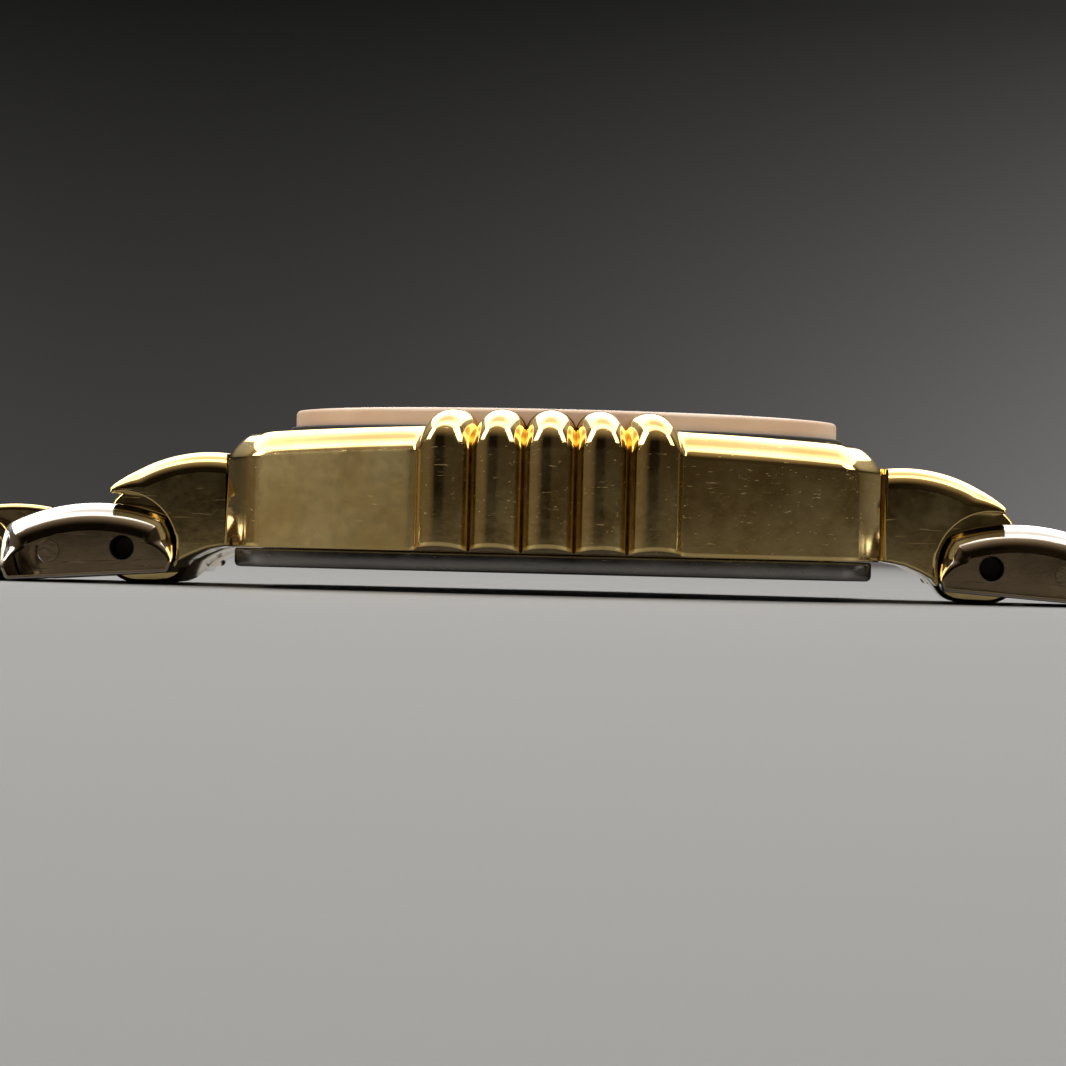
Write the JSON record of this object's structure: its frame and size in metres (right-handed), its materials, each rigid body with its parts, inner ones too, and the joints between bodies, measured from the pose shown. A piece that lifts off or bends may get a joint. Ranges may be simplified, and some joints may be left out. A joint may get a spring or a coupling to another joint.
{
  "type": "bracelet watch",
  "caption": "Small cushion-shaped bracelet watch in gold and steel, with fluted sides, turning hands, a pull-out crown, hinged links and a fold-over catch.",
  "frame": {"origin": "centre of the case back's outer face", "axes": "+X along the bracelet towards 6 o'clock, +Y towards 3 o'clock and the crown, +Z out of the dial"},
  "size_m": [0.1397, 0.0265, 0.0071],
  "materials": {
    "gold": "polished yellow gold plating",
    "steel": "polished stainless steel",
    "brushed_steel": "brushed",
    "pin_steel": "plain drawn wire",
    "crystal": "clear mineral glass",
    "rubber": "matte",
    "dial": "fine satin lacquer",
    "gear_brass": "machined",
    "ring_plastic": "moulded",
    "board": "solder mask",
    "copper": "varnished winding"
  },
  "bodies": {
    "case": {"case_middle": "gold", "case_back": "brushed_steel", "case_back_gasket": "rubber", "case_back_screws": "brushed_steel", "crystal": "crystal", "crystal_gasket": "rubber", "dial": "dial", "hour_markers": "gold", "movement_ring": "ring_plastic", "main_plate": "gear_brass", "circuit_board": "board", "coil": "copper", "battery": "brushed_steel", "crown_tube": "brushed_steel", "end_piece_12": "gold", "end_piece_6": "gold", "end_piece_screws": "brushed_steel"},
    "minute": {"minute_hand": "gold", "cannon_pinion": "gear_brass"},
    "hour": {"hour_hand": "gold", "hour_wheel": "gear_brass"},
    "motion_wheel": {"minute_wheel": "gear_brass"},
    "crown_slider": {"crown_gasket": "rubber"},
    "crown_and_stem": {"crown": "gold", "winding_stem": "pin_steel"},
    "clasp": {"clasp_base": "brushed_steel", "clasp_hinge_pin": "pin_steel"},
    "loop": {"catch_loop": "gold"},
    "cover": {"clasp_cover": "gold"},
    "links_12_1": {"side_links_12_1": "steel", "link_pins_12_1": "pin_steel"},
    "middle_12_1": {"centre_link_12_1": "gold"},
    "links_12_2": {"side_links_12_2": "steel", "link_pins_12_2": "pin_steel"},
    "middle_12_2": {"centre_link_12_2": "gold"},
    "links_12_3": {"side_links_12_3": "steel", "link_pins_12_3": "pin_steel"},
    "middle_12_3": {"centre_link_12_3": "gold"},
    "links_12_4": {"side_links_12_4": "steel", "link_pins_12_4": "pin_steel"},
    "middle_12_4": {"centre_link_12_4": "gold"},
    "links_12_5": {"side_links_12_5": "steel", "link_pins_12_5": "pin_steel"},
    "middle_12_5": {"centre_link_12_5": "gold"},
    "links_12_6": {"side_links_12_6": "steel", "link_pins_12_6": "pin_steel"},
    "links_6_1": {"side_links_6_1": "steel", "link_pins_6_1": "pin_steel"},
    "middle_6_1": {"centre_link_6_1": "gold"},
    "links_6_2": {"side_links_6_2": "steel", "link_pins_6_2": "pin_steel"},
    "middle_6_2": {"centre_link_6_2": "gold"},
    "links_6_3": {"side_links_6_3": "steel", "link_pins_6_3": "pin_steel"},
    "middle_6_3": {"centre_link_6_3": "gold"},
    "links_6_4": {"side_links_6_4": "steel", "link_pins_6_4": "pin_steel"},
    "middle_6_4": {"centre_link_6_4": "gold"},
    "links_6_5": {"side_links_6_5": "steel", "link_pins_6_5": "pin_steel"}
  },
  "joints": [
    {"name": "minute_turn", "type": "hinge", "parent": "case", "child": "minute", "pos_m": [0, 0, 0.005], "axis": [0, 0, -1], "continuous": true},
    {"name": "hour_turn", "type": "hinge", "parent": "case", "child": "hour", "pos_m": [0, 0, 0.0048], "axis": [0, 0, -1], "continuous": true},
    {"name": "motion_wheel_turn", "type": "hinge", "parent": "case", "child": "motion_wheel", "pos_m": [0, 0.0024, 0.0036], "axis": [0, 0, -1], "continuous": true},
    {"name": "crown_pull", "type": "slide", "parent": "case", "child": "crown_slider", "axis": [0, 1, 0], "range_m": [0, 0.0005]},
    {"name": "crown_turn", "type": "hinge", "parent": "crown_slider", "child": "crown_and_stem", "pos_m": [0, 0.013, 0.0028], "axis": [0, 1, 0], "continuous": true},
    {"name": "pin_12_1", "type": "hinge", "parent": "case", "child": "links_12_1", "pos_m": [-0.017, 0, 0.0006], "axis": [0, -1, 0], "range_deg": [-3, 15]},
    {"name": "pin_12_2", "type": "hinge", "parent": "links_12_1", "child": "middle_12_1", "pos_m": [-0.01989, 0, 0.0004], "axis": [0, -1, 0], "range_deg": [-3, 15]},
    {"name": "pin_12_3", "type": "hinge", "parent": "middle_12_1", "child": "links_12_2", "pos_m": [-0.02414, 0, 0.00026], "axis": [0, -1, 0], "range_deg": [-3, 15]},
    {"name": "pin_12_4", "type": "hinge", "parent": "links_12_2", "child": "middle_12_2", "pos_m": [-0.02704, 0, 0.00026], "axis": [0, -1, 0], "range_deg": [-3, 15]},
    {"name": "pin_12_5", "type": "hinge", "parent": "middle_12_2", "child": "links_12_3", "pos_m": [-0.03129, 0, 0.00026], "axis": [0, -1, 0], "range_deg": [-3, 15]},
    {"name": "pin_12_6", "type": "hinge", "parent": "links_12_3", "child": "middle_12_3", "pos_m": [-0.03419, 0, 0.00026], "axis": [0, -1, 0], "range_deg": [-3, 15]},
    {"name": "pin_12_7", "type": "hinge", "parent": "middle_12_3", "child": "links_12_4", "pos_m": [-0.03844, 0, 0.00026], "axis": [0, -1, 0], "range_deg": [-3, 15]},
    {"name": "pin_12_8", "type": "hinge", "parent": "links_12_4", "child": "middle_12_4", "pos_m": [-0.04134, 0, 0.00026], "axis": [0, -1, 0], "range_deg": [-3, 15]},
    {"name": "pin_12_9", "type": "hinge", "parent": "middle_12_4", "child": "links_12_5", "pos_m": [-0.04559, 0, 0.00026], "axis": [0, -1, 0], "range_deg": [-3, 15]},
    {"name": "pin_12_10", "type": "hinge", "parent": "links_12_5", "child": "middle_12_5", "pos_m": [-0.04849, 0, 0.00026], "axis": [0, -1, 0], "range_deg": [-3, 15]},
    {"name": "pin_12_11", "type": "hinge", "parent": "middle_12_5", "child": "links_12_6", "pos_m": [-0.05274, 0, 0.00026], "axis": [0, -1, 0], "range_deg": [-3, 15]},
    {"name": "clasp_swing", "type": "hinge", "parent": "links_12_6", "child": "clasp", "pos_m": [-0.05564, 0, 0.00026], "axis": [0, -1, 0], "range_deg": [-3, 15]},
    {"name": "cover_open", "type": "hinge", "parent": "clasp", "child": "cover", "pos_m": [-0.08164, 0, 0.00026], "axis": [0, -1, 0], "range_deg": [0, 130]},
    {"name": "pin_6_1", "type": "hinge", "parent": "case", "child": "links_6_1", "pos_m": [0.017, 0, 0.0006], "axis": [0, 1, 0], "range_deg": [-3, 15]},
    {"name": "pin_6_2", "type": "hinge", "parent": "links_6_1", "child": "middle_6_1", "pos_m": [0.01989, 0, 0.0004], "axis": [0, 1, 0], "range_deg": [-3, 15]},
    {"name": "pin_6_3", "type": "hinge", "parent": "middle_6_1", "child": "links_6_2", "pos_m": [0.02414, 0, 0.00026], "axis": [0, 1, 0], "range_deg": [-3, 15]},
    {"name": "pin_6_4", "type": "hinge", "parent": "links_6_2", "child": "middle_6_2", "pos_m": [0.02704, 0, 0.00026], "axis": [0, 1, 0], "range_deg": [-3, 15]},
    {"name": "pin_6_5", "type": "hinge", "parent": "middle_6_2", "child": "links_6_3", "pos_m": [0.03129, 0, 0.00026], "axis": [0, 1, 0], "range_deg": [-3, 15]},
    {"name": "pin_6_6", "type": "hinge", "parent": "links_6_3", "child": "middle_6_3", "pos_m": [0.03419, 0, 0.00026], "axis": [0, 1, 0], "range_deg": [-3, 15]},
    {"name": "pin_6_7", "type": "hinge", "parent": "middle_6_3", "child": "links_6_4", "pos_m": [0.03844, 0, 0.00026], "axis": [0, 1, 0], "range_deg": [-3, 15]},
    {"name": "pin_6_8", "type": "hinge", "parent": "links_6_4", "child": "middle_6_4", "pos_m": [0.04134, 0, 0.00026], "axis": [0, 1, 0], "range_deg": [-3, 15]},
    {"name": "pin_6_9", "type": "hinge", "parent": "middle_6_4", "child": "links_6_5", "pos_m": [0.04559, 0, 0.00026], "axis": [0, 1, 0], "range_deg": [-3, 15]},
    {"name": "loop_swing", "type": "hinge", "parent": "links_6_5", "child": "loop", "pos_m": [0.04849, 0, 0.00026], "axis": [0, 1, 0], "range_deg": [-20, 20]}
  ],
  "couplings": [
    {"joint": "hour_turn", "follows": "minute_turn", "ratio": 0.083333},
    {"joint": "motion_wheel_turn", "follows": "minute_turn", "ratio": -0.33333}
  ]
}
